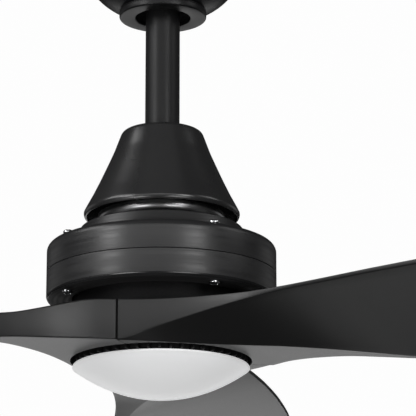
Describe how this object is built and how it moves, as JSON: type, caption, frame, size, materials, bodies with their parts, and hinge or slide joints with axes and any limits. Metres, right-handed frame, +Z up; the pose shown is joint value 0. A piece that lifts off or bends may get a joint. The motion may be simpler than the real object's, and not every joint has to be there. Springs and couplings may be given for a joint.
{
  "type": "ceiling fan with light",
  "caption": "Near-black ceiling fan on a short down rod, with broad swept blades and a round opal LED light under the hub.",
  "frame": {"origin": "centre of the ceiling bracket's top face, on the ceiling", "axes": "+Z up into the ceiling along the rotor axis; +X and +Y lie in the ceiling; the front view looks along +Y"},
  "size_m": [1.1732, 1.0558, 0.3714],
  "materials": {
    "black_paint": "satin",
    "black_satin": "semi-gloss",
    "blade_plastic": "fine matt",
    "opal_plastic": "frosted opal",
    "zinc_steel": "zinc plated",
    "chrome": "polished",
    "cast_aluminium": "as cast",
    "dark_aluminium": "black anodised",
    "laminations": "stacked sheet",
    "copper": "enamelled wire",
    "magnet": "sintered",
    "nylon": "natural",
    "white_board": "solder mask",
    "grey_plastic": "moulded"
  },
  "bodies": {
    "ceiling_mount": {"ceiling_bracket": "zinc_steel", "ball_seat": "nylon", "canopy": "black_paint", "canopy_trim_ring": "black_paint", "canopy_screw_1": "black_satin", "canopy_screw_2": "black_satin", "receiver_box": "grey_plastic", "terminal_block": "nylon"},
    "hanging_frame": {"hanger_ball": "grey_plastic", "hanger_pin": "zinc_steel", "ball_set_screw": "zinc_steel", "downrod": "black_satin", "yoke": "cast_aluminium", "clevis_pin": "zinc_steel", "clevis_clip": "zinc_steel", "yoke_set_screw": "zinc_steel", "yoke_screw_1": "zinc_steel", "yoke_screw_2": "zinc_steel", "yoke_screw_3": "zinc_steel", "neck_ring": "black_satin", "upper_housing": "black_satin", "lower_housing": "black_satin", "housing_top_screw_1": "chrome", "housing_top_screw_2": "chrome", "housing_top_screw_3": "chrome", "housing_top_screw_4": "chrome", "housing_bottom_screw_1": "chrome", "housing_bottom_screw_2": "chrome", "housing_bottom_screw_3": "chrome", "housing_bottom_screw_4": "chrome", "motor_shaft": "zinc_steel", "upper_bearing": "chrome", "lower_bearing": "chrome", "stator_core": "laminations", "stator_carrier": "cast_aluminium", "stator_winding": "copper", "lamp_carrier": "zinc_steel", "shaft_nut": "zinc_steel", "heat_sink": "dark_aluminium", "light_driver": "nylon", "lamp_tray": "zinc_steel", "led_board": "white_board", "tray_screw_1": "zinc_steel", "tray_screw_2": "zinc_steel", "tray_screw_3": "zinc_steel"},
    "rotor": {"rotor_hub": "dark_aluminium", "rotor_cover": "cast_aluminium", "magnet_ring": "magnet", "blade_1": "blade_plastic", "blade_2": "blade_plastic", "blade_3": "blade_plastic", "blade_screw_1": "zinc_steel", "blade_screw_2": "zinc_steel", "blade_screw_3": "zinc_steel", "blade_screw_4": "zinc_steel", "blade_screw_5": "zinc_steel", "blade_screw_6": "zinc_steel"},
    "yoke_cover": {"yoke_cover": "black_paint"},
    "lens": {"opal_lens": "opal_plastic"}
  },
  "joints": [
    {"name": "rod_sway", "type": "hinge", "parent": "ceiling_mount", "child": "hanging_frame", "pos_m": [0, 0, -0.03], "axis": [0, 1, 0], "range_deg": [-12, 12]},
    {"name": "rotor_spin", "type": "hinge", "parent": "hanging_frame", "child": "rotor", "pos_m": [0, 0, -0.343], "axis": [0, 0, 1], "continuous": true},
    {"name": "yoke_cover_lift", "type": "slide", "parent": "hanging_frame", "child": "yoke_cover", "axis": [0, 0, 1], "range_m": [0, 0.08]},
    {"name": "lens_twist", "type": "hinge", "parent": "hanging_frame", "child": "lens", "pos_m": [0, 0, -0.343], "axis": [0, 0, 1], "range_deg": [-35, 0]}
  ]
}
